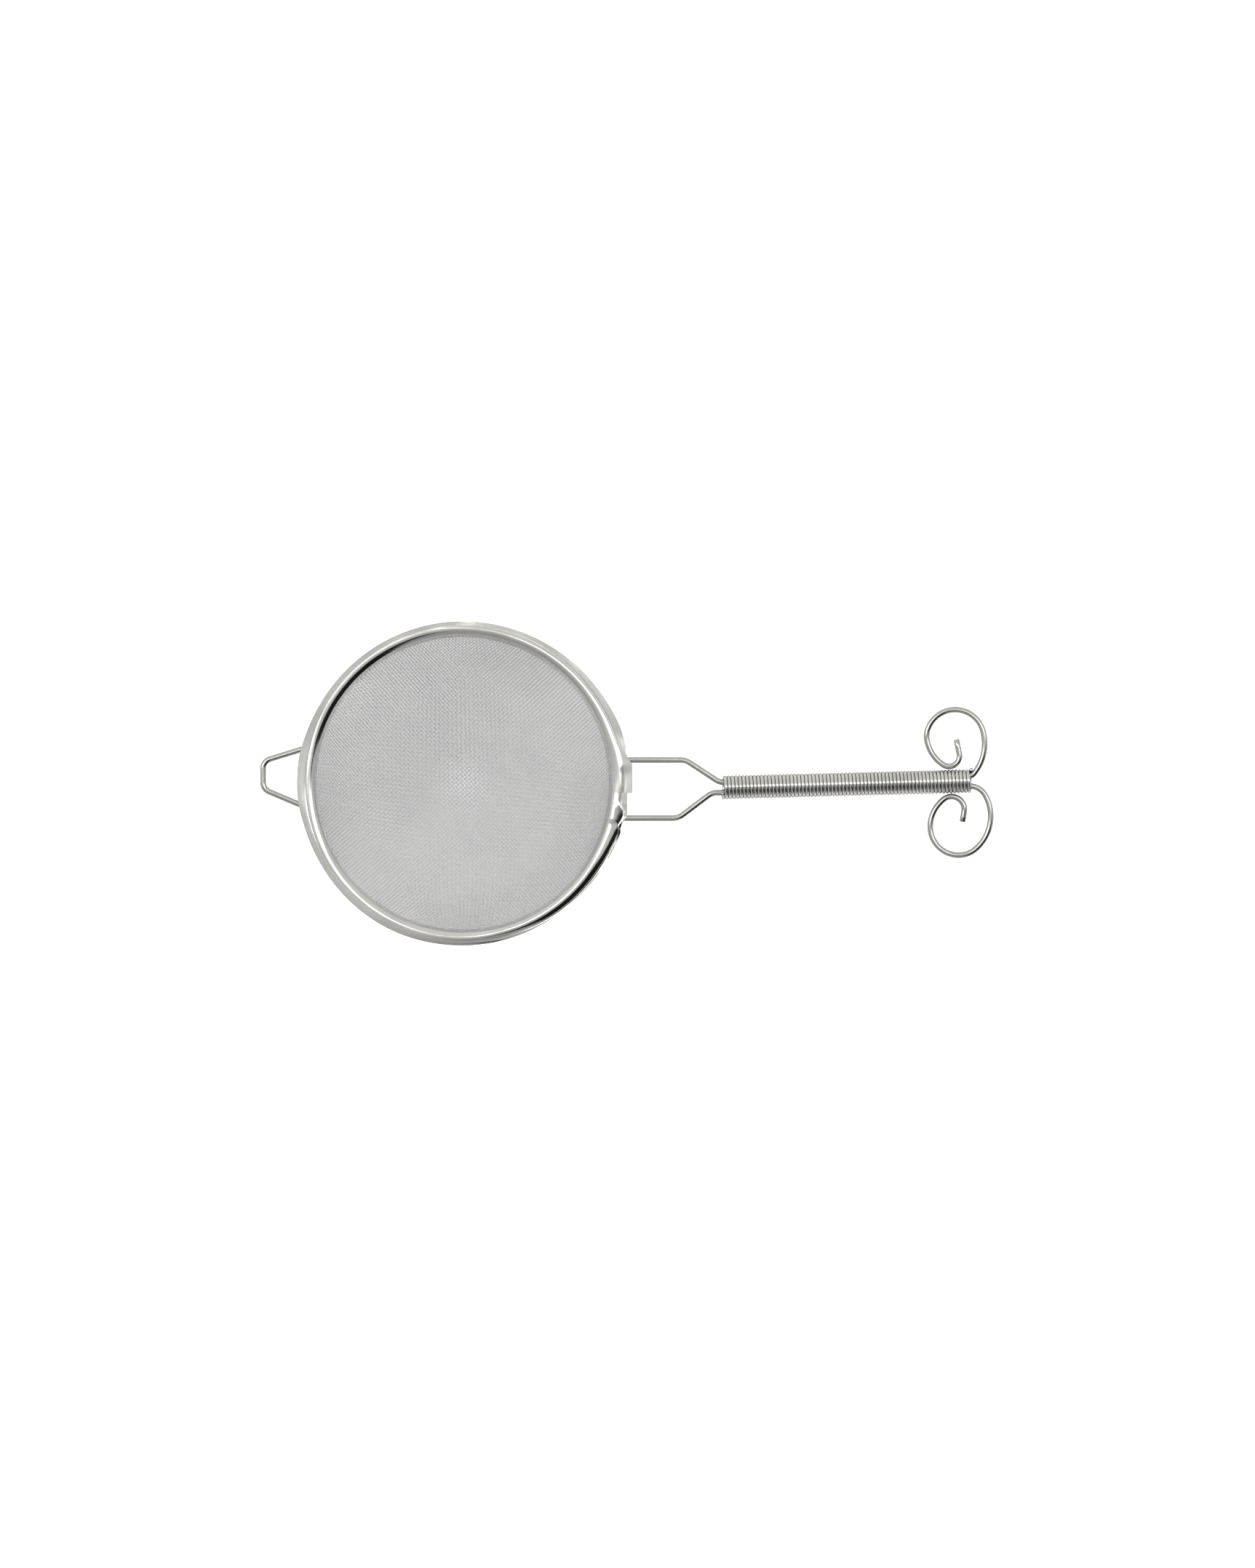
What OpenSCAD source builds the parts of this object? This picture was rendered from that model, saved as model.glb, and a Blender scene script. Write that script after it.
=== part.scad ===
// Wire-handled fine-mesh strainer: a dished woven-wire bowl clamped in a folded steel rim band,
// carried by one bent wire that also makes the front rest loop, the two legs, the core of the
// coiled grip and the two scrolled ends.
// Millimetres. Origin: the centre of the rim, in the plane of the frame wire.
// +X runs along the handle, +Z points out of the bowl's mouth.

/* [Bowl] */
// Radius of the bowl's mouth at the lower edge of the rim band
mouth_r = 40; // [38:0.5:41]
// Radius of the bowl's broad bottom, in section
bottom_r = 57; // [50:1:70]
// Radius of the bowl's rounded side, in section
side_r = 30.6; // [28:0.1:36]
// Distance from the axis where the bottom runs into the side
side_start = 26; // [20:0.5:28]
// Thickness of the woven cloth over its crossing wires
cloth_t = 0.46; // [0.3:0.02:0.6]

/* [Rim band] */
// Outer diameter of the rim
rim_d = 88.9; // [88:0.1:92]
// Height of the band below the plane of the frame wire
band_h = 6; // [5:0.5:9]
// Thickness of the band's sheet
strip_t = 0.35; // [0.3:0.05:0.45]
// Radius of the open curl along the rim's outer edge
curl_r = 0.72; // [0.6:0.02:0.8]
// Radius of the hoop wire's own circle inside the band
hoop_r = 42.1; // [41.8:0.1:42.4]
// Outer radius of the unrolled lip between the rest loop's wires
lip_r = 45.4; // [44.6:0.1:46]
// Outer radius of the unrolled lip below the seam
low_lip_r = 45.2; // [44.6:0.1:46]
// Distance from the rim's centre to the straight edge of the lapped end's lug
lug_reach = 46.3; // [45.5:0.1:47]
// Angle of the seam where the band's two ends meet
seam_angle = -3.4; // [-5:0.1:-2]
// Width of the seam
seam_gap = 0.2; // [0.1:0.05:0.4]

/* [Frame wire] */
// Diameter of the frame wire
wire_d = 1.6; // [1.4:0.05:1.8]
// Radius of the bends where the wire leaves the rim for the legs
leg_exit_r = 2.2; // [1.8:0.1:3]
// Radius of the bends where the wire leaves the rim for the rest loop
loop_exit_r = 1.8; // [1.5:0.1:2.5]

/* [Rest loop] */
// Distance from the rim's centre to the end of the rest loop
loop_reach = 54.7; // [52:0.1:58]
// Corner heights of the rest loop, upper and lower
loop_corner_y = [6.05, -1.6]; // [-10:0.05:10]
// Slopes of the rest loop's two wires towards its end, upper and lower
loop_slope = [17.1, 22.9]; // [10:0.1:30]
// Radius of the rest loop's two corners
loop_corner_r = 2.7; // [2:0.1:3.5]

/* [Legs] */
// Heights of the two parallel legs, upper and lower
leg_y = [6.35, -9.55]; // [-12:0.05:12]
// Distance from the rim's centre to the bend in each leg
leg_bend_x = [60.9, 58.9]; // [55:0.1:64]
// Slopes of the two legs down to the grip
leg_slope = [33.2, 37]; // [25:0.1:45]
// Radius of the bend in each leg
leg_bend_r = 4.5; // [3:0.1:6]
// Radius of the bend at the mouth of the grip
leg_mouth_r = 4; // [3:0.1:5]

/* [Grip] */
// Outside diameter of the coiled grip
coil_d = 6.6; // [6:0.1:8]
// Diameter of the coil's wire, which is also its pitch
coil_wire_d = 1; // [0.9:0.05:1.2]
// Number of turns in the coil
coil_turns = 68; // [50:1:80]
// Start of the coil, on its own axis
coil_start = [70.6, -1.17]; // [-10:0.01:80]
// Tilt of the coil's axis away from the X axis
coil_tilt = 1.5; // [0:0.1:3]
// Distance of each core wire from the coil's axis
core_offset = 1.42; // [0.82:0.05:1.45]

/* [Scrolled ends] */
// Upper scroll, as bends of radius and angle one after another
upper_bends = [[1.6, 49], [13, 55], [7.9, 145], [6.1, 30], [10.2, 46], [2.9, 135]]; // [1:0.1:160]
// Straight length at the end of the upper scroll
upper_tail = 4; // [2:0.1:6]
// Lower scroll, as bends of radius and angle one after another
lower_bends = [[4.7, 62], [11.8, 80], [6.9, 35], [7.8, 98], [9.7, 48], [3.5, 138]]; // [1:0.1:160]
// Straight length at the end of the lower scroll
lower_tail = 2.9; // [2:0.1:6]

/* [Hidden] */
$fn = 64;
wire_r = wire_d / 2;
rim_r = rim_d / 2;
roll_r = wire_r + strip_t;
curl_at = [rim_r - curl_r, 0.25];

// The band's section: two leaning sheets with the cloth's hem between them, and over them the
// crown, where the strip turns over the hoop wire.
wall_top = [hoop_r - 0.97 * roll_r, -0.2];
wall_lean = atan((wall_top.x - mouth_r) / (band_h + wall_top.y));
crown_out = roll_r - 0.06;
crown_in = wire_r + 0.06;
sheet_run = strip_t / cos(wall_lean);
cloth_run = cloth_t / cos(wall_lean);
hem_top = -1.2;
hem_low_r = mouth_r + sheet_run;
hem_top_r = hem_low_r + (band_h + hem_top) * tan(wall_lean);

// Section of the cloth's hem, which stands in the slot between the band's two sheets.
hem = [
    [hem_low_r, -band_h],
    [hem_low_r + cloth_run, -band_h],
    [hem_top_r + cloth_run, hem_top],
    [hem_top_r, hem_top]
];

// The dished cloth's section: an arc for the bottom, and a tighter arc for the side that rises
// to the lower end of the hem.
side_slope = asin(side_start / bottom_r);
side_centre = side_start - side_r * sin(side_slope);
dish_slope = asin((hem_low_r + cloth_run / 2 - side_centre) / side_r);
side_centre_z = side_r * cos(dish_slope) - band_h;

function along(angle) = [cos(angle), sin(angle)];
function left_of(u) = [-u.y, u.x];
function angle_of(v) = atan2(v.y, v.x);
function turn_between(from, to) = (to - from + 540) % 360 - 180;
function crossing(p, u, q, v) = p + u * (cross(q - p, v) / cross(u, v));

// A wire is a point, a heading and a run of pieces: [radius, turn] is a bend, to the left where
// turn is positive, and [length, 0] is a straight.
function after(p, heading, piece) =
    let (r = sign(piece[1]) * piece[0])
    piece[1] == 0
        ? p + piece[0] * along(heading)
        : p + r * left_of(along(heading)) - r * left_of(along(heading + piece[1]));

// The run along a path of corners, each inner corner rounded to its own radius.
function corner_run(points, radii) =
    let (
        last = len(points) - 1,
        heads = [for (i = [0 : last - 1]) angle_of(points[i + 1] - points[i])],
        turns = [for (i = [1 : last - 1]) turn_between(heads[i - 1], heads[i])],
        cuts = [0, for (i = [0 : last - 2]) radii[i] * tan(abs(turns[i]) / 2), 0]
    )
    [for (i = [0 : last - 1]) each [
        [norm(points[i + 1] - points[i]) - cuts[i] - cuts[i + 1], 0],
        if (i < last - 1) [radii[i], turns[i]]
    ]];

// Centre of a bend of radius r that leaves the hoop and runs on along the line through p in
// direction u. side is 1 where the centre lies left of that line, and -1 where it lies right.
function exit_centre(p, u, r, side) =
    let (w = p + side * r * left_of(u), b = w * u)
    w + u * (sqrt(b * b - w * w + pow(hoop_r + r, 2)) - b);

// The hoop turns about the rim's centre: side is 1 where the wire reaches the bend clockwise.
function hoop_heading(centre, side) = angle_of(centre) - 90 * side;
function exit_turn(centre, u, side) = turn_between(hoop_heading(centre, side), angle_of(u));

// The four wires that leave the hoop: the two legs, and the rest loop's two wires.
leg_side = [1, -1];
leg_exit = [for (k = [0, 1]) exit_centre([0, leg_y[k]], [1, 0], leg_exit_r, leg_side[k])];
loop_side = [-1, 1];
loop_u = [along(180 + loop_slope[0]), along(180 - loop_slope[1])];
loop_corner = [for (y = loop_corner_y) [-loop_reach, y]];
loop_exit = [for (k = [0, 1])
    exit_centre(loop_corner[k], loop_u[k], loop_exit_r, loop_side[k])];
loop_start = [for (k = [0, 1]) loop_exit[k] - loop_side[k] * loop_exit_r * left_of(loop_u[k])];

// The coil, and the two core wires inside it. Each leg slopes down to its core wire's line.
coil_u = along(coil_tilt);
coil_end = coil_start + coil_turns * coil_wire_d * coil_u;
core_side = [core_offset * left_of(coil_u), -core_offset * left_of(coil_u)];
leg_u = [along(-leg_slope[0]), along(leg_slope[1])];
leg_corner = [for (k = [0, 1]) [leg_bend_x[k], leg_y[k]]];
mouth_corner = [for (k = [0, 1])
    crossing(leg_corner[k], leg_u[k], coil_start + core_side[k], coil_u)];
leg_tail = 2;
core_start = [for (k = [0, 1]) mouth_corner[k] + leg_tail * coil_u];
scroll_start = [for (k = [0, 1]) coil_end + core_side[k]];

// Sectors where the strip lies open above the wires that leave the rim.
lip_sector = [165.5, 190];
lug_sector = [seam_angle, 10.5];
low_lip_sector = [-13.5, seam_angle];

// Frame wire along a run, from piece i on. Its pieces stop just short of each other inside a short
// collar that is a hair wider than the wire, so that the whole run is one solid.
module wire(p, heading, run, i = 0) {
    collar_r = wire_r + 0.03;
    collar_len = 0.4;
    short = 0.04;
    size = run[i][0];
    turn = run[i][1];
    start = i == 0 ? 0 : short;
    stop = i == len(run) - 1 ? 0 : short;
    next = after(p, heading, run[i]);
    if (turn == 0) {
        translate([p.x, p.y, 0])
            rotate([0, 90, heading])
                translate([0, 0, start]) cylinder(r = wire_r, h = size - start - stop);
    } else {
        side = sign(turn);
        centre = p + side * size * left_of(along(heading));
        first = turn > 0 ? start : stop;
        sweep = abs(turn) - (start + stop) / size * 180 / PI;
        translate([centre.x, centre.y, 0])
            rotate([0, 0, heading - side * 90 + min(turn, 0) + first / size * 180 / PI])
                rotate_extrude(angle = sweep, start = 0)
                    translate([size, 0]) circle(r = wire_r);
    }
    if (i < len(run) - 1) {
        translate([next.x, next.y, 0])
            rotate([0, 90, heading + turn])
                cylinder(r = collar_r, h = collar_len, center = true);
        wire(next, heading + turn, run, i + 1);
    }
}

// Half of the hoop inside the band's roll, from the bend of a leg round to that of the rest loop.
module hoop_wire(k) {
    from = angle_of(leg_exit[k]);
    heading = hoop_heading(leg_exit[k], -leg_side[k]);
    wire(hoop_r * along(from), heading, [[hoop_r, turn_between(from, angle_of(loop_exit[k]))]]);
}

// A leg, from the hoop to just inside the mouth of the coil.
module leg_wire(k) {
    straight_start = leg_exit[k] - leg_side[k] * [0, leg_exit_r];
    wire(hoop_r * along(angle_of(leg_exit[k])), hoop_heading(leg_exit[k], leg_side[k]), concat(
        [[leg_exit_r, exit_turn(leg_exit[k], [1, 0], leg_side[k])]],
        corner_run([straight_start, leg_corner[k], mouth_corner[k], core_start[k]],
            [leg_bend_r, leg_mouth_r])));
}

// The strip lying open along a sector of the rim, out to radius r_out.
module open_sector(sector, r_out) {
    r_in = hoop_r - 0.3;
    rotate([0, 0, sector[0]])
        rotate_extrude(angle = sector[1] - sector[0], start = 0)
            translate([r_in, wire_r]) square([r_out - r_in, strip_t]);
}

// The strip rolled round the hoop wire along a sector of the rim, with its edge curled outside.
module roll_sector(sector) {
    rotate([0, 0, sector[0]])
        rotate_extrude(angle = sector[1] - sector[0], start = 0) {
            translate([hoop_r, 0])
                difference() {
                    circle(r = roll_r);
                    circle(r = wire_r);
                }
            translate(curl_at)
                difference() {
                    circle(r = curl_r);
                    circle(r = curl_r - strip_t);
                }
        }
}

// Section of the band: the doubled sheet with its slot, and the crown's inner half.
module band_section() {
    hoop_at = [hoop_r, 0];
    difference() {
        polygon(concat(
            [
                [mouth_r, -band_h],
                [mouth_r + 2 * sheet_run + cloth_run, -band_h],
                [hem_top_r + cloth_run + sheet_run, hem_top]
            ],
            [for (a = [-55 : -42 : -139]) hoop_at + (crown_in + crown_out) / 2 * along(a)],
            [for (a = [180 : -15 : 90]) hoop_at + crown_in * along(a)],
            [for (a = [90 : 15 : 165]) hoop_at + crown_out * along(a)],
            [wall_top]
        ));
        polygon(hem);
    }
}

// A point of the dished cloth's section where it slopes at this angle, offset out of the bowl.
function dish_point(slope, offset) = slope < side_slope
    ? [
        (bottom_r + offset) * sin(slope),
        side_centre_z + (bottom_r - side_r) * cos(side_slope) - (bottom_r + offset) * cos(slope)
    ]
    : [
        side_centre + (side_r + offset) * sin(slope),
        side_centre_z - (side_r + offset) * cos(slope)
    ];

// The dished cloth and its hem. The last degree of the dish's slope turns into the hem.
module mesh_bowl() color("gainsboro") {
    steps = 32;
    hem_turn = 1;
    slopes = [for (i = [0 : steps]) (dish_slope - hem_turn) * i / steps];
    rotate_extrude()
        polygon(concat(
            [for (i = [0 : steps]) dish_point(slopes[i], cloth_t / 2)],
            [hem[1], hem[2], hem[3], hem[0]],
            [for (i = [steps : -1 : 0]) dish_point(slopes[i], -cloth_t / 2)]
        ));
}

// One strip, folded over the cloth's hem and rolled round the hoop wire.
module rim_band() color("silver") {
    seam_sweep = seam_gap / mouth_r * 180 / PI;
    rotate([0, 0, seam_angle])
        rotate_extrude(angle = 360 - seam_sweep, start = 0) band_section();
    roll_sector([angle_of(leg_exit[0]), angle_of(loop_exit[0])]);
    roll_sector([angle_of(loop_exit[1]), angle_of(leg_exit[1])]);
    open_sector(lip_sector, lip_r);
    open_sector([low_lip_sector[0], low_lip_sector[1] - seam_sweep], low_lip_r);
    intersection() {
        open_sector(lug_sector, rim_r + 2 * roll_r);
        translate([0, -rim_r, 0]) cube([lug_reach, rim_d, 2 * roll_r]);
    }
}

module hoop_wire_upper() color("lightsteelblue") hoop_wire(0);

module hoop_wire_lower() color("lightsteelblue") hoop_wire(1);

// The loop that hangs over the far edge of a glass.
module rest_loop() color("lightsteelblue") {
    wire(hoop_r * along(angle_of(loop_exit[0])), hoop_heading(loop_exit[0], loop_side[0]), concat(
        [[loop_exit_r, exit_turn(loop_exit[0], loop_u[0], loop_side[0])]],
        corner_run([loop_start[0], loop_corner[0], loop_corner[1], loop_start[1]],
            [loop_corner_r, loop_corner_r]),
        [[loop_exit_r, -exit_turn(loop_exit[1], loop_u[1], loop_side[1])]]));
}

module leg_wire_upper() color("lightsteelblue") leg_wire(0);

module leg_wire_lower() color("lightsteelblue") leg_wire(1);

module core_wire_upper() color("lightsteelblue")
    wire(core_start[0], coil_tilt, [[norm(scroll_start[0] - core_start[0]), 0]]);

module core_wire_lower() color("lightsteelblue")
    wire(core_start[1], coil_tilt, [[norm(scroll_start[1] - core_start[1]), 0]]);

module scroll_wire_upper() color("lightsteelblue")
    wire(scroll_start[0], coil_tilt, concat(upper_bends, [[upper_tail, 0]]));

module scroll_wire_lower() color("lightsteelblue")
    wire(scroll_start[1], coil_tilt, concat([for (b = lower_bends) [b[0], -b[1]]],
        [[lower_tail, 0]]));

// The close-wound grip, drawn as one ring for each turn.
module handle_coil() color("gray") {
    bite = 0.01;
    translate([coil_start.x, coil_start.y, 0])
        rotate([0, 90, coil_tilt])
            rotate_extrude()
                for (i = [0 : coil_turns - 1])
                    translate([(coil_d - coil_wire_d) / 2, (i + 0.5) * coil_wire_d])
                        circle(r = coil_wire_d / 2 + bite);
}

mesh_bowl();
rim_band();
hoop_wire_upper();
hoop_wire_lower();
rest_loop();
leg_wire_upper();
leg_wire_lower();
core_wire_upper();
core_wire_lower();
scroll_wire_upper();
scroll_wire_lower();
handle_coil();
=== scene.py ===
"""Looks for the wire-handled fine-mesh strainer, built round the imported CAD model."""
import math
import bmesh
import bpy
import numpy as np
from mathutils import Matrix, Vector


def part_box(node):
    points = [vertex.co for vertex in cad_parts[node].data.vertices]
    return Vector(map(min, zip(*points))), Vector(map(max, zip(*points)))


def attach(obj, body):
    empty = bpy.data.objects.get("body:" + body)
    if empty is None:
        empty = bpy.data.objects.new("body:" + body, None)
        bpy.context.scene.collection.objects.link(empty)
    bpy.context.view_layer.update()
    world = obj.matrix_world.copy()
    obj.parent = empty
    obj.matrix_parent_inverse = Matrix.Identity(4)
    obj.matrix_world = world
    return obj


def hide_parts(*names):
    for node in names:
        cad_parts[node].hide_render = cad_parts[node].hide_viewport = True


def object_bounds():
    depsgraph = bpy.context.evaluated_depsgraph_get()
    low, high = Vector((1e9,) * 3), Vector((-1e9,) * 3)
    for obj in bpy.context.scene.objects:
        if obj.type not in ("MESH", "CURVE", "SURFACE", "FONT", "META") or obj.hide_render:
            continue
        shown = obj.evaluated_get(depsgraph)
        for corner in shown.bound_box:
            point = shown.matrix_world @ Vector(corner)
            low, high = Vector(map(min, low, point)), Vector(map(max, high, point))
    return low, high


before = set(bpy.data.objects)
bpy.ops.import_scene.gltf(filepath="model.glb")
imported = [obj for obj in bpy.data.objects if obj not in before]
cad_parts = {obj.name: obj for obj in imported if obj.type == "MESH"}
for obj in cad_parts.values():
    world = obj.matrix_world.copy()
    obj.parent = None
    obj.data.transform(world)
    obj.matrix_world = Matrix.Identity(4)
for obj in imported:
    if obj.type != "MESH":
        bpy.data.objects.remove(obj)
CAD_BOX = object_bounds()
MM = 0.001

# ---------------------------------------------------------------- sizes, in millimetres and degrees
core_low, core_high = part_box("core_wire_upper")
WIRE_R = (core_high.z - core_low.z) / 2 / MM
BAND_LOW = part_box("rim_band")[0].z / MM
FLOOR_Z = CAD_BOX[0].z / MM
STRIP_T = 0.35
ROLL_R = WIRE_R + STRIP_T

# Frame wire: the hoop in the rim's roll, the rest loop in front and the legs behind. Pairs are for
# the upper and the lower side, as seen in plan.
HOOP_R = 42.1
LEG_EXIT_R, LOOP_EXIT_R = 2.2, 1.8
LOOP_REACH = 54.7
LOOP_CORNER_Y = (6.05, -1.6)
LOOP_SLOPE = (17.1, 22.9)
LOOP_CORNER_R = 2.7
LEG_Y = (6.35, -9.55)
LEG_BEND_X = (60.9, 58.9)
LEG_SLOPE = (33.2, 37.0)
LEG_BEND_R, LEG_MOUTH_R = 4.5, 4.0

# Grip: the coil wound round the two cores. COIL_R is the radius of its wire's centre line and
# COIL_FIRST where on it the wire starts. At the far end it lacks COIL_SHORT of a turn, and a short
# tail springs off upwards, leaning to the side and outwards.
COIL_R = 2.8
COIL_WIRE_R = 0.5
COIL_PITCH = 1.005
COIL_TURNS = 68
COIL_START = np.array([70.6, -1.17])
COIL_TILT = 1.5
COIL_FIRST = 120
COIL_SHORT = 0.36
COIL_LEAD = 0.1
TAIL_LENGTH, TAIL_STEPS = 1.2, 4
TAIL_SIDE, TAIL_OUT = 0.45, 0.1
CORE_OFFSET = 1.42

# Scrolls from the grip's end on, as (radius, turn) bends and a last (length, 0) straight.
UPPER_SCROLL = [(1.6, 49), (13, 55), (7.9, 145), (6.1, 30), (10.2, 46), (2.9, 135), (4.0, 0)]
LOWER_SCROLL = [(4.7, -62), (11.8, -80), (6.9, -35), (7.8, -98), (9.7, -48), (3.5, -138), (2.9, 0)]

# Cloth: a bottom arc of BOTTOM_R that runs into a side arc of SIDE_R at SIDE_START from the axis.
DISH_EDGE_R = 40.59
BOTTOM_R = 57.0
SIDE_R = 30.6
SIDE_START = 26.0
CLOTH_WIRE_R = 0.112
CLOTH_PITCH = (0.808, 0.915)
CLOTH_TURN = 42.0
CLOTH_REACH = 50.0
CLOTH_CUT_R = DISH_EDGE_R + 0.12


# ---------------------------------------------------------------- plane geometry
def along(deg):
    a = math.radians(deg)
    return np.array([math.cos(a), math.sin(a)])


def left_of(u):
    return np.array([-u[1], u[0]])


def angle_of(v):
    return math.degrees(math.atan2(v[1], v[0]))


def turn_between(a, b):
    return (b - a + 540) % 360 - 180


def cross2(a, b):
    return a[0] * b[1] - a[1] * b[0]


def crossing(p, u, q, v):
    return p + u * (cross2(q - p, v) / cross2(u, v))


def sample(p, heading, run, bend_step=4.0, straight_step=1.5):
    """Points along a run of (radius, turn) bends and (length, 0) straights."""
    pts = [np.array(p, float)]
    for size, turn in run:
        if turn == 0:
            n = max(2, int(size / straight_step))
            for i in range(1, n + 1):
                pts.append(p + along(heading) * size * i / n)
        else:
            n = max(3, int(abs(turn) / bend_step))
            side = math.copysign(1, turn)
            centre = p + side * size * left_of(along(heading))
            for i in range(1, n + 1):
                h = heading + turn * i / n
                pts.append(centre - side * size * left_of(along(h)))
            heading += turn
        p = pts[-1]
    return pts


def corner_run(points, radii):
    """The run along a path of corners, each inner corner rounded to its own radius."""
    heads = [angle_of(b - a) for a, b in zip(points, points[1:])]
    turns = [turn_between(a, b) for a, b in zip(heads, heads[1:])]
    cuts = [0] + [r * math.tan(math.radians(abs(t)) / 2) for r, t in zip(radii, turns)] + [0]
    run = []
    for i in range(len(points) - 1):
        run.append((np.linalg.norm(points[i + 1] - points[i]) - cuts[i] - cuts[i + 1], 0))
        if i < len(turns):
            run.append((radii[i], turns[i]))
    return run


def exit_centre(p, u, r, side):
    """Centre of the bend of radius r that takes the hoop into the line through p along u."""
    w = p + side * r * left_of(u)
    b = w @ u
    return w + u * (math.sqrt(b * b - w @ w + (HOOP_R + r) ** 2) - b)


def hoop_exit(centre, u, side):
    """Heading of the hoop at a bend's start, and the bend's turn."""
    heading = angle_of(centre) - 90 * side
    return heading, turn_between(heading, angle_of(u))


# ---------------------------------------------------------------- the frame wire's path
coil_u = along(COIL_TILT)
coil_end = COIL_START + COIL_TURNS * 2 * COIL_WIRE_R * coil_u
core_side = [CORE_OFFSET * left_of(coil_u), -CORE_OFFSET * left_of(coil_u)]


def leg_points(k):
    """The upper (0) or lower (1) leg with its core and scroll, and where it leaves the hoop."""
    side = (1, -1)[k]
    u = (along(-LEG_SLOPE[0]), along(LEG_SLOPE[1]))[k]
    corner = np.array([LEG_BEND_X[k], LEG_Y[k]])
    mouth = crossing(corner, u, COIL_START + core_side[k], coil_u)
    centre = exit_centre(np.array([0.0, LEG_Y[k]]), np.array([1.0, 0.0]), LEG_EXIT_R, side)
    heading, turn = hoop_exit(centre, np.array([1.0, 0.0]), side)
    first = centre - side * np.array([0, LEG_EXIT_R])
    run = [(LEG_EXIT_R, turn)]
    run += corner_run([first, corner, mouth, coil_end + core_side[k]], [LEG_BEND_R, LEG_MOUTH_R])
    run += UPPER_SCROLL if k == 0 else LOWER_SCROLL
    return centre, sample(HOOP_R * along(angle_of(centre)), heading, run)


def loop_points():
    """The rest loop, and where its two ends leave the hoop."""
    us = [along(180 + LOOP_SLOPE[0]), along(180 - LOOP_SLOPE[1])]
    corners = [np.array([-LOOP_REACH, y]) for y in LOOP_CORNER_Y]
    sides = (-1, 1)
    centres = [exit_centre(c, u, LOOP_EXIT_R, s) for c, u, s in zip(corners, us, sides)]
    starts = [c - s * LOOP_EXIT_R * left_of(u) for c, u, s in zip(centres, us, sides)]
    h0, t0 = hoop_exit(centres[0], us[0], sides[0])
    t1 = hoop_exit(centres[1], us[1], sides[1])[1]
    run = [(LOOP_EXIT_R, t0)]
    run += corner_run([starts[0], *corners, starts[1]], [LOOP_CORNER_R] * 2)
    run += [(LOOP_EXIT_R, -t1)]
    return centres, sample(HOOP_R * along(angle_of(centres[0])), h0, run)


def hoop_points(a, b):
    sweep = turn_between(a, b)
    heading = a + math.copysign(90, sweep)
    return sample(HOOP_R * along(a), heading, [(HOOP_R, sweep)], bend_step=1.5)


leg_centre0, upper = leg_points(0)
leg_centre1, lower = leg_points(1)
loop_centres, loop = loop_points()
hoop0 = hoop_points(angle_of(leg_centre0), angle_of(loop_centres[0]))
hoop1 = hoop_points(angle_of(loop_centres[1]), angle_of(leg_centre1))
frame_path = upper[::-1] + hoop0[1:] + loop[1:] + hoop1[1:] + lower[1:]


# ---------------------------------------------------------------- mesh building
CUT_BEVEL = 0.18
SAME_POINT = 0.02


def make(name, verts, faces, uv=None, smooth=True):
    """A mesh object from points in millimetres. uv has a (u, v) in millimetres per face corner."""
    me = bpy.data.meshes.new(name)
    me.from_pydata((np.asarray(verts) * MM).tolist(), [], faces)
    if uv is not None:
        layer = me.uv_layers.new(name="run")
        layer.data.foreach_set("uv", np.asarray(uv, np.float32).ravel())
    me.polygons.foreach_set("use_smooth", [smooth] * len(me.polygons))
    me.update()
    ob = bpy.data.objects.new(name, me)
    bpy.context.scene.collection.objects.link(ob)
    return ob


def unit(a):
    return a / np.linalg.norm(a, axis=-1, keepdims=True)


def shares(steps):
    return np.linspace(0, 1, steps + 1)


def tube_arrays(path, up, radius, sides, cut=True):
    """Vertices, faces and corner UVs of a round wire along a path. A cut end has a small bevel."""
    p = np.asarray(path, float)
    t = unit(np.gradient(p, axis=0))
    s = unit(np.cross(t, up))
    w = np.cross(s, t)
    rad = np.full(len(p), float(radius))
    if cut:
        bevel = CUT_BEVEL * radius
        p = np.vstack([p[:1], p[:1] + t[:1] * bevel, p[1:-1], p[-1:] - t[-1:] * bevel, p[-1:]])
        s = np.vstack([s[:1], s, s[-1:]])
        w = np.vstack([w[:1], w, w[-1:]])
        rad = np.full(len(p), float(radius))
        rad[0] = rad[-1] = radius - bevel
    a = np.arange(sides) * 2 * math.pi / sides
    ring = s[:, None, :] * np.cos(a)[None, :, None] + w[:, None, :] * np.sin(a)[None, :, None]
    verts = (p[:, None, :] + ring * rad[:, None, None]).reshape(-1, 3)
    n = len(p)
    i, j = np.meshgrid(np.arange(n - 1), np.arange(sides), indexing="ij")
    k = (j + 1) % sides
    quads = np.stack([i * sides + j, i * sides + k, (i + 1) * sides + k, (i + 1) * sides + j], -1)
    faces = quads.reshape(-1, 4).tolist()
    run = np.concatenate([[0], np.cumsum(np.linalg.norm(np.diff(p, axis=0), axis=1))])
    around = 2 * math.pi * radius / sides
    uv = np.stack([
        np.stack([run[i], j * around], -1), np.stack([run[i], (j + 1) * around], -1),
        np.stack([run[i + 1], (j + 1) * around], -1), np.stack([run[i + 1], j * around], -1),
    ], -2).reshape(-1, 2)
    faces.append(list(range(sides - 1, -1, -1)))
    faces.append(list(range((n - 1) * sides, n * sides)))
    flat = np.stack([np.cos(a), np.sin(a)], -1) * radius
    uv = np.vstack([uv, flat, flat])
    return verts, faces, uv


def join_arrays(parts):
    verts, faces, uvs, base = [], [], [], 0
    for v, f, uv in parts:
        verts.append(v)
        faces += [[q + base for q in face] for face in f]
        uvs.append(uv)
        base += len(v)
    return np.vstack(verts), faces, np.vstack(uvs)


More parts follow.
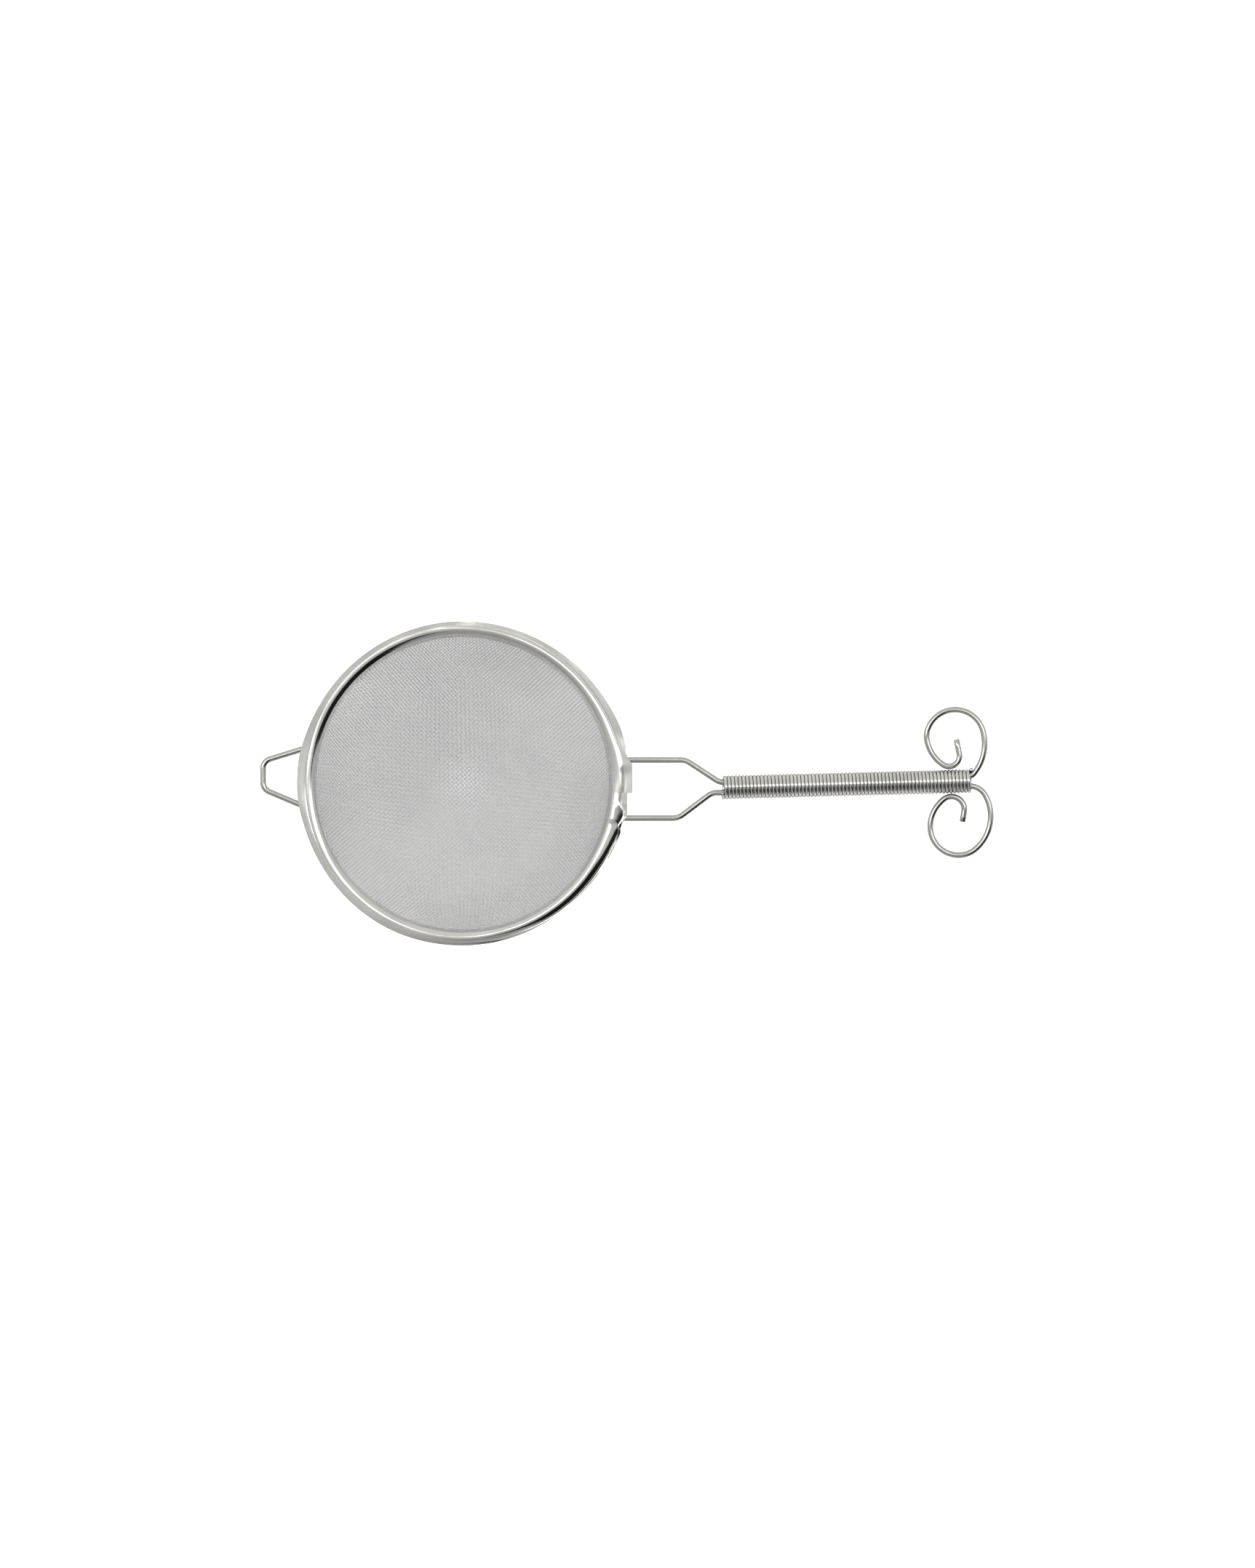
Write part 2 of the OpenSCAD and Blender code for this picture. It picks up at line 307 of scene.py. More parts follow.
def flatten(points):
    """Plane points lifted to z = 0, with repeats dropped."""
    kept = [points[0]]
    for q in points[1:]:
        if np.linalg.norm(q - kept[-1]) > SAME_POINT:
            kept.append(q)
    return np.array([[q[0], q[1], 0.0] for q in kept])


# ---------------------------------------------------------------- materials
DRIFT_SCALE = 90.0
RELIEF_DEPTH = 0.00002


def ramp(tree, value, low, high, span=(0.3, 0.7), smooth=False):
    """The value's span mapped to low and high."""
    node = tree.nodes.new("ShaderNodeMapRange")
    if smooth:
        node.interpolation_type = "SMOOTHSTEP"
    for name, number in zip(("From Min", "From Max", "To Min", "To Max"), (*span, low, high)):
        node.inputs[name].default_value = number
    tree.links.new(value, node.inputs["Value"])
    return node.outputs["Result"]


def noise_of(tree, vector, scale, stretch, detail):
    mapping = tree.nodes.new("ShaderNodeMapping")
    mapping.inputs["Scale"].default_value = stretch
    tree.links.new(vector, mapping.inputs["Vector"])
    node = tree.nodes.new("ShaderNodeTexNoise")
    node.inputs["Scale"].default_value = scale
    node.inputs["Detail"].default_value = detail
    tree.links.new(mapping.outputs["Vector"], node.inputs["Vector"])
    return node.outputs["Fac"]


def steel(name, tones, rough, streak, bump, coords="UV", grain=0.35, rim=1.0):
    """Bright stainless steel: tone and roughness drift over the surface, with fine streaks on it.

    tones are its darkest and lightest colour, rough the range of its roughness, streak the scale of
    the streaks along, across and through, grain their share in the roughness, and rim how bright
    the mirror gets where the surface is seen edge on.
    """
    mat = bpy.data.materials.new(name)
    mat.use_nodes = True
    tree = mat.node_tree
    shader = tree.nodes["Principled BSDF"]
    shader.inputs["Metallic"].default_value = 1.0
    shader.inputs["Specular Tint"].default_value = (rim, rim, rim, 1)
    where = tree.nodes.new("ShaderNodeTexCoord")
    drift = noise_of(tree, where.outputs["Object"], DRIFT_SCALE, (1, 1, 1), detail=2.0)
    lines = noise_of(tree, where.outputs[coords], 1.0, streak, detail=4.0)
    colour = tree.nodes.new("ShaderNodeMix")
    colour.data_type = "RGBA"
    colour.inputs[6].default_value = (*tones[0], 1)
    colour.inputs[7].default_value = (*tones[1], 1)
    tree.links.new(ramp(tree, drift, 0.0, 1.0), colour.inputs[0])
    tree.links.new(colour.outputs[2], shader.inputs["Base Color"])
    mixed = tree.nodes.new("ShaderNodeMath")
    mixed.operation = "MULTIPLY_ADD"
    mixed.inputs[1].default_value = grain
    tree.links.new(lines, mixed.inputs[0])
    tree.links.new(ramp(tree, drift, 0.0, 1.0 - grain), mixed.inputs[2])
    roughness = ramp(tree, mixed.outputs[0], *rough, span=(0.1, 0.9))
    tree.links.new(roughness, shader.inputs["Roughness"])
    relief = tree.nodes.new("ShaderNodeBump")
    relief.inputs["Strength"].default_value = bump
    relief.inputs["Distance"].default_value = RELIEF_DEPTH
    tree.links.new(lines, relief.inputs["Height"])
    tree.links.new(relief.outputs["Normal"], shader.inputs["Normal"])
    return mat


ROLLED = ((0.63, 0.625, 0.60), (0.70, 0.695, 0.67))
DRAWN = ((0.47, 0.465, 0.445), (0.53, 0.525, 0.505))
PALE = ((0.74, 0.74, 0.75), (0.82, 0.82, 0.82))
band_steel = steel("band_steel", ROLLED, (0.07, 0.17), (0.25, 9.0, 1.0), 0.35)
wire_steel = steel("wire_steel", DRAWN, (0.10, 0.20), (0.5, 7.0, 1.0), 0.35, rim=0.12)
coil_steel = steel("coil_steel", ROLLED, (0.10, 0.20), (0.6, 7.0, 1.0), 0.30, rim=0.55)
cloth_steel = steel("cloth_steel", PALE, (0.34, 0.48), (900.0, 900.0, 900.0), 0.15, "Object")


def finish_piece(ob, mat, slot, *nodes):
    """Gives a piece its material and body, and hides the CAD nodes that it replaces. slot is not
    used.
    """
    ob.data.materials.append(mat)
    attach(ob, "root")
    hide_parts(*nodes)


# ---------------------------------------------------------------- camera, floor and lights
# In metres, except the floor's size. PAINTED_SHADOW is a painted shadow on the paper where it is
# seen through the bowl:
# its centre, and the radii where the paper's painted glow starts to burn it out and has burnt it
# out.
CAMERA_AT = (0.0450, -0.0002, 2.5)
CAMERA_LENS = 209.75
FLOOR_HALF = 1500.0
PAPER = (0.80, 0.80, 0.80, 1)
PAINTED_SHADOW_AT = (-0.0013, 0.0, FLOOR_Z * MM)
PAINTED_SHADOW_R = (0.0414, 0.0455)
PAINTED_PAPER_GLOW = 0.7
LAMP_HEIGHT, LAMP_SIZE, LAMP_POWER = 1.6, 1.6, 12.0


def add_camera():
    data = bpy.data.cameras.new("camera")
    data.sensor_width = 36.0
    data.lens = CAMERA_LENS
    data.clip_start, data.clip_end = 0.01, 20.0
    camera = bpy.data.objects.new("camera", data)
    camera.location = CAMERA_AT
    bpy.context.scene.collection.objects.link(camera)
    bpy.context.scene.camera = camera


def add_floor():
    """Pale paper. To the lens a painted glow burns it out to white, except in a painted shadow disc
    under the bowl.
    """
    signs = ((-1, -1), (1, -1), (1, 1), (-1, 1))
    corners = [(FLOOR_HALF * x, FLOOR_HALF * y, FLOOR_Z) for x, y in signs]
    floor = make("floor", corners, [(0, 1, 2, 3)], smooth=False)
    mat = bpy.data.materials.new("floor_white")
    mat.use_nodes = True
    tree = mat.node_tree
    shader = tree.nodes["Principled BSDF"]
    shader.inputs["Roughness"].default_value = 0.9
    shader.inputs["Specular IOR Level"].default_value = 0.1
    shader.inputs["Base Color"].default_value = PAPER
    where = tree.nodes.new("ShaderNodeTexCoord")
    away = tree.nodes.new("ShaderNodeVectorMath")
    away.operation = "DISTANCE"
    away.inputs[1].default_value = PAINTED_SHADOW_AT
    tree.links.new(where.outputs["Object"], away.inputs[0])
    # painted shadow: no painted glow inside the disc under the bowl, full painted glow outside it,
    # seen by the lens only
    painted_glow = ramp(tree, away.outputs["Value"], 0.0, PAINTED_PAPER_GLOW, PAINTED_SHADOW_R, smooth=True)
    seen = tree.nodes.new("ShaderNodeLightPath")
    painted_glow_to_lens = tree.nodes.new("ShaderNodeMath")
    painted_glow_to_lens.operation = "MULTIPLY"
    tree.links.new(painted_glow, painted_glow_to_lens.inputs[0])
    tree.links.new(seen.outputs["Is Camera Ray"], painted_glow_to_lens.inputs[1])
    shader.inputs["Emission Color"].default_value = (1, 1, 1, 1)
    tree.links.new(painted_glow_to_lens.outputs[0], shader.inputs["Emission Strength"])
    floor.data.materials.append(mat)


def add_softbox():
    data = bpy.data.lights.new("softbox", "AREA")
    data.shape = "DISK"
    data.size = LAMP_SIZE
    data.energy = LAMP_POWER
    lamp = bpy.data.objects.new("softbox", data)
    lamp.location = (0.0, 0.0, LAMP_HEIGHT)
    lamp.visible_glossy = False
    lamp.visible_camera = False
    bpy.context.scene.collection.objects.link(lamp)


# The studio round the steel, by direction: x and y are a direction's shares along the handle and
# across it. Each span is where one tone runs into the next.
ROOM_Y, ROOM_TONE = (-0.75, 0.45), (0.40, 0.88)
ROOM_X, ROOM_SIDE = (-0.2, 0.9), (1.0, 0.82)
STRIP_NEAR, STRIP_FAR = (0.01, 0.10), (0.24, 0.31)
STRIP_GAP, STRIP_END = (0.02, 0.10), (0.55, 0.85)
STRIP_POWER = 2.6
DARK_FACING = -40
DARK_ACROSS, DARK_AHEAD = (0.31, 0.48), (0.30, 0.44)
DARK_TONE = 0.03
STUDIO_TINT = (1.0, 1.0, 0.985, 1)
BACKDROP = 1.05


def studio():
    """A white studio seen in the steel: a long strip light beside the lens, and one dark side."""
    world = bpy.data.worlds.new("studio")
    bpy.context.scene.world = world
    world.use_nodes = True
    tree = world.node_tree
    tree.nodes.clear()
    link = tree.links.new

    def math_node(op, *values):
        node = tree.nodes.new("ShaderNodeMath")
        node.operation = op
        for socket, value in zip(node.inputs, values):
            if isinstance(value, (int, float)):
                socket.default_value = value
            else:
                link(value, socket)
        return node.outputs[0]

    def step(value, span, low=0.0, high=1.0):
        return ramp(tree, value, low, high, span, smooth=True)

    where = tree.nodes.new("ShaderNodeTexCoord")
    split = tree.nodes.new("ShaderNodeSeparateXYZ")
    link(where.outputs["Generated"], split.inputs[0])
    x, y = split.outputs[0], split.outputs[1]
    room = math_node("MULTIPLY", step(y, ROOM_Y, *ROOM_TONE), step(x, ROOM_X, *ROOM_SIDE))
    # the strip light, broken where the lens looks through
    long_way = math_node("MULTIPLY", step(y, STRIP_NEAR), step(y, STRIP_FAR, 1.0, 0.0))
    reach = math_node("ABSOLUTE", x)
    ends = math_node("MULTIPLY", step(reach, STRIP_GAP), step(reach, STRIP_END, 1.0, 0.0))
    strip = math_node("MULTIPLY", long_way, ends)
    lit = math_node("MULTIPLY_ADD", strip, STRIP_POWER, room)
    # the dark side
    facing = math.radians(DARK_FACING)
    ahead, across = (tree.nodes.new("ShaderNodeVectorMath") for _ in range(2))
    for node, turn in ((ahead, 0.0), (across, math.pi / 2)):
        node.operation = "DOT_PRODUCT"
        link(where.outputs["Generated"], node.inputs[0])
        node.inputs[1].default_value = (math.cos(facing + turn), math.sin(facing + turn), 0.0)
    beside = step(math_node("ABSOLUTE", across.outputs["Value"]), DARK_ACROSS)
    behind = step(ahead.outputs["Value"], DARK_AHEAD, 1.0, 0.0)
    dark = step(math_node("MAXIMUM", beside, behind), (0.0, 1.0), DARK_TONE, 1.0)
    lit = math_node("MULTIPLY", lit, dark)

    seen = tree.nodes.new("ShaderNodeLightPath")
    shown = tree.nodes.new("ShaderNodeMix")
    shown.data_type = "FLOAT"
    link(seen.outputs["Is Camera Ray"], shown.inputs[0])
    link(lit, shown.inputs[2])
    shown.inputs[3].default_value = BACKDROP
    light = tree.nodes.new("ShaderNodeBackground")
    light.inputs["Color"].default_value = STUDIO_TINT
    link(shown.outputs[0], light.inputs["Strength"])
    out = tree.nodes.new("ShaderNodeOutputWorld")
    link(light.outputs[0], out.inputs["Surface"])


bpy.context.scene.view_settings.view_transform = "Standard"
add_camera()
add_floor()
add_softbox()
studio()


# ---------------------------------------------------------------- frame wire and coiled grip
WIRE_SIDES, COIL_SIDES = 24, 14
STEPS_A_TURN = 26


def frame_wire():
    path = flatten(frame_path)
    up = np.tile([0.0, 0.0, 1.0], (len(path), 1))
    ob = make("frame_wire", *tube_arrays(path, up, WIRE_R, WIRE_SIDES))
    finish_piece(ob, wire_steel, "frame_wire", "hoop_wire_upper", "hoop_wire_lower", "rest_loop",
                 "leg_wire_upper", "leg_wire_lower", "core_wire_upper", "core_wire_lower",
                 "scroll_wire_upper", "scroll_wire_lower")


def grip_coil():
    """The close-wound grip: one wire wound right-handed, cut on top at one end, with a tail."""
    axis = np.array([*coil_u, 0.0])
    side = np.array([*left_of(coil_u), 0.0])
    rise = np.array([0.0, 0.0, 1.0])
    start = np.array([*COIL_START, 0.0]) + axis * (COIL_WIRE_R - COIL_LEAD)
    turns = COIL_TURNS - COIL_SHORT
    first = math.radians(COIL_FIRST)
    phi = first + np.linspace(0, turns * 2 * math.pi, int(turns * STEPS_A_TURN))
    shift = (phi - first) / (2 * math.pi) * COIL_PITCH
    spoke = side * np.cos(phi)[:, None] + rise * np.sin(phi)[:, None]
    path = start + axis * shift[:, None] + spoke * COIL_R
    heading = unit(side * TAIL_SIDE + rise + axis * TAIL_OUT)
    tail = path[-1] + heading * (shares(TAIL_STEPS)[1:] * TAIL_LENGTH)[:, None]
    path = np.vstack([path, tail])
    up = np.vstack([spoke, np.tile(spoke[-1], (len(tail), 1))])
    ob = make("grip_coil", *tube_arrays(path, up, COIL_WIRE_R, COIL_SIDES))
    finish_piece(ob, coil_steel, "coil_wire", "handle_coil")


frame_wire()
grip_coil()

# ---------------------------------------------------------------- rim band
# Stations round the rim: an angle and a value each, from one end of the strip to the
# other. Lengths are millimetres and slopes are degrees.
SEAM = -3.4
SEAM_LAP, SEAM_R = 0.1, 40
# the strip's outer edge: a lug from the seam to 8 degrees, a nick at 345, a front lip at 180
OUTLINE = [(-3.4, 46.38), (3, 46.42), (6.4, 46.6), (7.6, 46.1), (9, 45.65), (10.8, 45.4),
           (13, 45.7), (18, 45.7), (30, 45.2), (42, 44.85), (60, 44.5), (80, 44.33), (105, 44.33),
           (130, 44.45), (150, 44.65), (162, 45.0), (172, 45.4), (186, 45.35), (196, 44.95),
           (212, 44.75), (240, 44.72), (268, 44.4), (300, 44.3), (322, 44.55), (336, 44.9),
           (342.8, 45.15), (344.2, 44.85), (345.8, 44.85), (346.9, 45.2), (349.1, 45.75),
           (351.5, 45.4), (356.6, 45.12)]
# the crest over the hoop wire
CROWN = [(-3.4, 42.8), (6, 42.6), (20, 42.15), (60, 42.1), (80, 42.2), (105, 42.5), (150, 42.45),
         (178, 42.25), (200, 42.5), (250, 42.4), (275, 42.15), (290, 42.0), (330, 42.0),
         (346, 42.4), (350.8, 42.3), (356.6, 42.7)]
# the line where the strip turns from the crown to the outer part, and the crown's slope there
TURN = [(-3.4, 43.9), (8, 43.9), (16, 43.5), (30, 43.25), (45, 43.1), (62, 43.2), (95, 43.15),
        (105, 43.0), (150, 43.0), (165, 42.9), (185, 43.05), (205, 43.05), (250, 43.0),
        (270, 43.2), (288, 43.45), (312, 43.85), (325, 44.0), (336, 44.3), (341, 44.6),
        (343.2, 44.3), (344.8, 43.9), (346.5, 44.25), (348.5, 44.6), (350.5, 44.5), (353, 43.6),
        (356.6, 43.4)]
TURN_SLOPE = [(-3.4, 35), (3.5, 32), (6.5, 18), (10.5, 18), (20, 27), (45, 27), (62, 35), (85, 30),
              (105, 3), (150, 3), (162, 20), (172, 24), (188, 24), (205, 4), (250, 6), (266, 25),
              (285, 48), (339, 52), (342.2, 40), (344.2, 10), (346, 16), (347.5, 17), (349.3, 16),
              (351, 17.5), (353, 30), (356.6, 33)]
# the power of the crown's curve: the more, the longer it stays flat before it falls to TURN
FLAT_TOP = [(-3.4, 2), (90, 2), (110, 2.4), (240, 2.2), (285, 2.3), (325, 2.3), (338, 3.2),
            (343.8, 3.2), (346, 1.3), (351, 1.3), (353, 2), (356.6, 2)]
# depth of the pinched line along TURN
GROOVE = [(-3.4, 0.25), (3.5, 0.2), (6.5, 0.04), (10.5, 0.04), (18, 0.12), (45, 0.05), (62, 0.0),
          (150, 0.0), (165, 0.05), (188, 0.08), (205, 0.02), (280, 0.0), (300, 0.05), (343, 0.05),
          (350, 0.04), (356.6, 0.16)]
# how straight the outer part runs on from TURN, from 0 for a parabola to 1 for a line
KINK = [(-3.4, 0.1), (45, 0.2), (100, 0.6), (152, 0.6), (165, 0.1), (190, 0.1), (206, 0.6),
        (255, 0.6), (285, 0.1), (356.6, 0.1)]
# height of the outer edge: level with the outer part, or nearly, but rolled down from 262 to 344
EDGE = [(-3.4, 0.97), (9, 0.97), (16, 0.85), (28, 0.86), (43, 0.88), (62, 0.78), (85, 0.85),
        (96, 1.09), (105, 1.18), (150, 1.17), (157, 1.07), (164, 0.96), (193, 0.93), (208, 1.02),
        (240, 0.97), (262, 0.7), (285, 0.35), (335, 0.2), (341, 0.2), (344, 0.5), (346, 0.87),
        (350.5, 0.87), (353, 0.97), (356.6, 0.97)]
# how far the strip rides up over the wire
LIFT = [(-3.4, 0.12), (3, 0.05), (11, 0.0), (150, 0.0), (164, -0.13), (178, 0.0), (192, 0.13),
        (215, 0.0), (344.5, 0.0), (346.5, 0.2), (351, 0.2), (353.5, 0.06), (356.6, 0.0)]
# 1 where the strip lies open as a thin sheet, 0 where its edge is rolled in under the wire
OPEN = [(-3.4, 1), (8.5, 1), (14, 0.25), (30, 0), (150, 0), (165, 0.5), (190, 0.5), (205, 0),
        (330, 0), (345, 0.1), (350.5, 1), (356.6, 1)]
# the parts of the section that are the same all round
INNER_LOW_R, INNER_SHIFT = 40.13, 0.22
INNER_TOP_R, INNER_SLOPE = 40.8, math.radians(47)
BAND_FOOT = BAND_LOW - 0.15
TURN_SOFT = 0.07
TURN_TICKS = (0.0, 0.05, 0.1, 0.16, 0.24, 0.34)
UNDER_R, UNDER_Z = 42.3, -1.2
SHEET_END_R, SHEET_FOLD, SHEET_RUN = 43.45, 0.25, 0.7
WALL_TOP, WALL_BEND, WALL_LOW_R = (41.95, -1.5), (41.85, -1.8), 41.2
HEM_R, HEM_DEPTH = (40.86, 40.36), 0.9
INNER_STEPS, CROWN_STEPS, OUTER_STEPS, UNDER_STEPS, WALL_STEPS = 6, 12, 9, 8, 4
BAND_STEPS = 620
UV_R = 42.5
FOOT_RUN = 0.3
SHARP = math.radians(50)


def at(stations, angle):
    """The value at an angle on a smooth curve through the stations.

    Its slope at a station is the harmonic mean of those on both sides, so it never overshoots.
    """
    x = np.array([s[0] for s in stations], float)
    y = np.array([s[1] for s in stations], float)
    d = np.diff(y) / np.diff(x)
    m = np.zeros(len(x))
    m[1:-1] = np.where(d[:-1] * d[1:] > 0, 2 * d[:-1] * d[1:] / (d[:-1] + d[1:] + 1e-12), 0)
    i = int(np.clip(np.searchsorted(x, angle) - 1, 0, len(x) - 2))
    h = x[i + 1] - x[i]
    t = min(max((angle - x[i]) / h, 0), 1)
    return (y[i] * (1 + 2 * t) * (1 - t) ** 2 + m[i] * h * t * (1 - t) ** 2
            + y[i + 1] * t * t * (3 - 2 * t) + m[i + 1] * h * t * t * (t - 1))


def band_top(angle):
    """The strip's upper side at an angle: its height by radius, and where it starts and ends."""
    outer, crown, turn = at(OUTLINE, angle), at(CROWN, angle), at(TURN, angle)
    power, kink, groove = at(FLAT_TOP, angle), at(KINK, angle), at(GROOVE, angle)
    # rolled strip is never quite even
    wave = (0.012 * math.sin(math.radians(angle * 7))
            + 0.008 * math.sin(math.radians(angle * 17 + 40)))
    height, edge = ROLL_R + (at(LIFT, angle) + wave), at(EDGE, angle) + wave
    drop = (turn - crown) * math.tan(math.radians(at(TURN_SLOPE, angle))) / power

    def sharp(r):
        """The height with a sharp turn."""
        x = (r - crown) / (turn - crown)
        if x < 1:
            return height - drop * max(x, 0) ** power
        t = min((r - turn) / (outer - turn), 1)
        return height - drop + (edge - height + drop) * (kink * t + (1 - kink) * t * t)

    def top(r):
        """The height with the turn eased, less the groove, which is wider where it is deeper."""
        z = sharp(r) / 2 + (sharp(r - TURN_SOFT) + sharp(min(r + TURN_SOFT, outer))) / 4
        return z - groove * math.exp(-((r - turn) / (0.13 + 0.5 * groove)) ** 2)

    return top, height, crown, turn, outer


def band_under(top, turn, outer, is_open):
    """From the outer edge to under the wire: a roll, a thin sheet's lower side, or between them.

    The sheet folds down by its thickness, runs back to SHEET_END_R, and drops to under the wire.
    """
    edge = top(outer)
    lowest = min(edge, top(turn))
    pts = []
    for t in shares(UNDER_STEPS)[1:]:
        a = math.radians(90 * t)
        rolled = (UNDER_R + (outer - UNDER_R) * math.cos(a), edge + (UNDER_Z - edge) * math.sin(a))
        back = max(t - SHEET_FOLD, 0) / (1 - SHEET_FOLD)
        if back > SHEET_RUN:
            e = (back - SHEET_RUN) / (1 - SHEET_RUN)
            sheet = (SHEET_END_R + (UNDER_R - SHEET_END_R) * e,
                     (lowest - STRIP_T) * (1 - e) + UNDER_Z * e)
        else:
            sheet = (outer - (outer - SHEET_END_R) * back / SHEET_RUN,
                     lowest - STRIP_T * min(t / SHEET_FOLD, 1))
        pts.append(tuple(np.array(rolled) * (1 - is_open) + np.array(sheet) * is_open))
    return pts


def band_section(angle):
    """The closed section at an angle: inner wall, crown, outer part, roll, outer wall, hem slot."""
    top, height, crown, turn, outer = band_top(angle)
    inner_low = INNER_LOW_R - INNER_SHIFT * math.cos(math.radians(angle))
    bend = (crown - INNER_TOP_R) / math.sin(INNER_SLOPE)
    inner_z = height - bend * (1 - math.cos(INNER_SLOPE))
    pts = []
    for t in shares(INNER_STEPS)[:-1]:
        pts.append((inner_low + (INNER_TOP_R - inner_low) * t,
                    BAND_FOOT + (inner_z - BAND_FOOT) * t))
    for a in INNER_SLOPE * shares(CROWN_STEPS)[:0:-1]:
        pts.append((crown - bend * math.sin(a), height - bend * (1 - math.cos(a))))
    near, far = turn - TURN_TICKS[-1], turn + TURN_TICKS[-1]
    ticks = [crown + (near - crown) * t for t in shares(INNER_STEPS)[:-1]]
    ticks += [turn - o for o in TURN_TICKS[:0:-1]] + [turn + o for o in TURN_TICKS]
    ticks += [far + (outer - far) * math.sin(t * math.pi / 2) for t in shares(OUTER_STEPS)[1:]]
    pts += [(r, top(r)) for r in ticks]
    pts += band_under(top, turn, outer, at(OPEN, angle))
    pts.append(WALL_TOP)
    for t in shares(WALL_STEPS)[1:]:
        pts.append((WALL_BEND[0] + (WALL_LOW_R - WALL_BEND[0]) * t,
                    WALL_BEND[1] + (BAND_FOOT - WALL_BEND[1]) * t))
    (hem_out, hem_in), slot_top = HEM_R, BAND_FOOT + HEM_DEPTH
    pts += [(hem_out, BAND_FOOT), (hem_out, slot_top), (hem_in, slot_top), (hem_in, BAND_FOOT)]
    return pts


def rim_band():
    """The strip: its section swept once round from the seam until its ends just overlap."""
    span = 360 + math.degrees(SEAM_LAP / SEAM_R)
    angles = [SEAM + span * i / BAND_STEPS for i in range(BAND_STEPS + 1)]
    rings = [band_section(a) for a in angles]
    m = len(rings[0])
    verts, runs = [], []
    for a, ring in zip(angles, rings):
        c, s = math.cos(math.radians(a)), math.sin(math.radians(a))
        verts += [(r * c, r * s, z) for r, z in ring]
        steps = [math.dist(p, q) for p, q in zip(ring, ring[1:])] + [FOOT_RUN]
        runs.append([sum(steps[:j]) for j in range(m + 1)])
    faces, uv = [], []
    for i in range(BAND_STEPS):
        u = [math.radians(a) * UV_R for a in angles[i:i + 2]]
        for j in range(m):
            k = (j + 1) % m
            faces.append([i * m + j, i * m + k, (i + 1) * m + k, (i + 1) * m + j])
            uv += [(u[0], runs[i][j]), (u[0], runs[i][j + 1]),
                   (u[1], runs[i + 1][j + 1]), (u[1], runs[i + 1][j])]
    faces += [list(range(m)), list(range((BAND_STEPS + 1) * m - 1, BAND_STEPS * m - 1, -1))]
    uv += [(0.0, runs[0][j]) for j in range(m)] * 2
    ob = make("rim_band_strip", verts, faces, uv)
    me = ob.data
    bm = bmesh.new()
    bm.from_mesh(me)
    bmesh.ops.recalc_face_normals(bm, faces=bm.faces)
    ends = [f for f in bm.faces if len(f.verts) > 4]
    for f in ends:
        f.smooth = False
    bmesh.ops.triangulate(bm, faces=ends)
    bm.to_mesh(me)
    bm.free()
    me.set_sharp_from_angle(angle=SHARP)
    finish_piece(ob, band_steel, "rim_sheet", "rim_band")


rim_band()

# ---------------------------------------------------------------- woven cloth
WEAVE_STEPS = 4
WEAVE_SIDES = 5
WEAVE_RISE = CLOTH_WIRE_R * 1.02
NET_MARGIN = 1.4
LEAST_DROP, LEAST_SHEAR = 2.0, 0.02
NEWTON_STEPS = 6
LEAST_CELLS, LEAST_POINTS = 4, 6

side_slope = math.asin(SIDE_START / BOTTOM_R)
side_centre = SIDE_START - SIDE_R * math.sin(side_slope)
side_centre_z = BAND_LOW + math.sqrt(SIDE_R ** 2 - (DISH_EDGE_R - side_centre) ** 2)
bottom_centre_z = side_centre_z + (BOTTOM_R - SIDE_R) * math.cos(side_slope)


def dish(r):
    """Height and gradient of the dished cloth at a distance from the axis."""
    if r < SIDE_START:
        drop = math.sqrt(BOTTOM_R ** 2 - r * r)
        return bottom_centre_z - drop, r / drop
    # past the rim, where only the net's margin lies, the side is kept short of upright
    drop = math.sqrt(max(SIDE_R ** 2 - (r - side_centre) ** 2, LEAST_DROP ** 2))
    return side_centre_z - drop, (r - side_centre) / drop


def on_dish(run, heading):
    """The point of the dish at a length of run up its side from its lowest point."""
    slope = abs(run) / BOTTOM_R
    r = BOTTOM_R * math.sin(slope)
    if slope > side_slope:
        r = side_centre + SIDE_R * math.sin(side_slope + (slope - side_slope) * BOTTOM_R / SIDE_R)
    return np.array([*(math.copysign(r, run) * along(heading)), dish(r)[0]])


def third_corner(a, b, old, from_a, from_b):
    """The point of the dish at one distance from a and another from b, starting opposite old.

    Newton's method on both squared distances. None where the point lies outside the dish or the
    cell has closed up.
    """
    x, y = a[0] + b[0] - old[0], a[1] + b[1] - old[1]
    for _ in range(NEWTON_STEPS):
        r = math.hypot(x, y)
        if r > DISH_EDGE_R + NET_MARGIN:
            return None
        z, grade = dish(r)
        gx, gy = grade * x / r, grade * y / r
        ax, ay, az = x - a[0], y - a[1], z - a[2]
        bx, by, bz = x - b[0], y - b[1], z - b[2]
        f = (ax * ax + ay * ay + az * az - from_a ** 2) / 2
        g = (bx * bx + by * by + bz * bz - from_b ** 2) / 2
        fx, fy, hx, hy = ax + az * gx, ay + az * gy, bx + bz * gx, by + bz * gy
        det = fx * hy - fy * hx
        if abs(det) < LEAST_SHEAR:
            return None
        x, y = x - (f * hy - g * fy) / det, y - (g * fx - f * hx) / det
    return np.array([x, y, dish(math.hypot(x, y))[0]])


